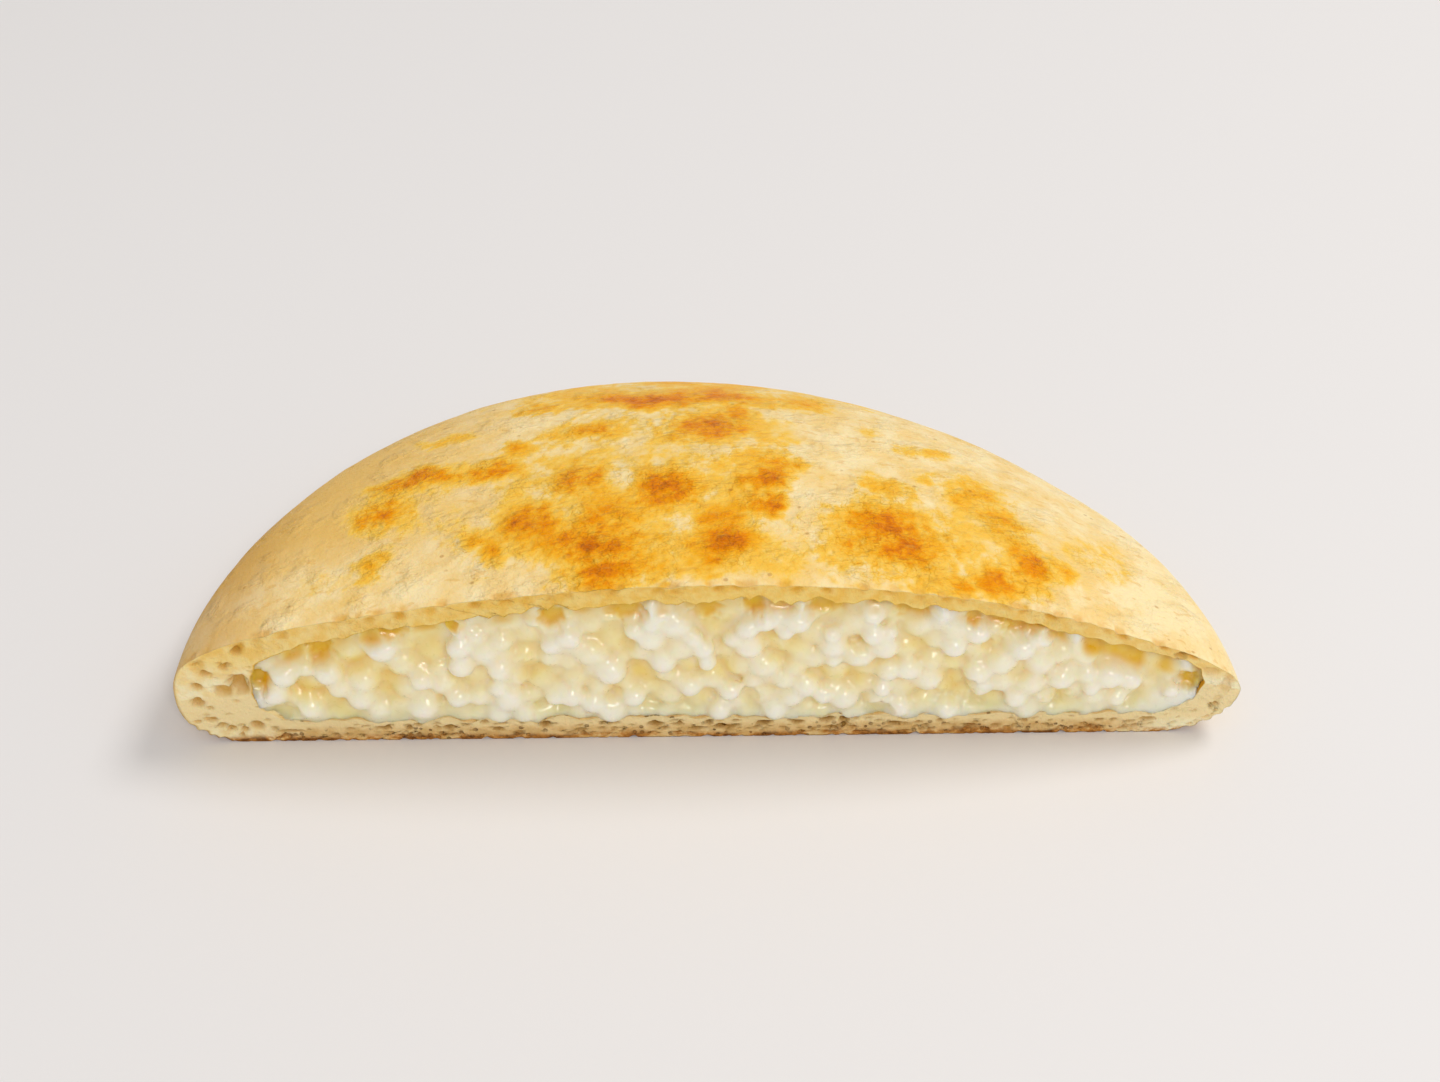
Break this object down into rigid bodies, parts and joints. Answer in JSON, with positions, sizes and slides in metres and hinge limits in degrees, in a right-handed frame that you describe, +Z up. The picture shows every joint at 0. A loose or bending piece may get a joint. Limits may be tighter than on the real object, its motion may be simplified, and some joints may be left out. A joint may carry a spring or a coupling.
{
  "type": "akkawi cheese pie",
  "caption": "Half of a round filled flatbread pie, baked and blistered, with melted white cheese curd showing along the straight cut.",
  "frame": {"origin": "on the flat base, below the middle of the bounding box", "axes": "+X along the straight cut, from left to right as the cut is faced, +Y from the cut face to the rounded back rim, +Z up from the base"},
  "size_m": [0.1604, 0.0834, 0.0306],
  "materials": {
    "bread": "matte",
    "cheese": "satin"
  },
  "bodies": {
    "root": {"bread_crust": "bread", "cheese_filling": "cheese"}
  },
  "joints": []
}
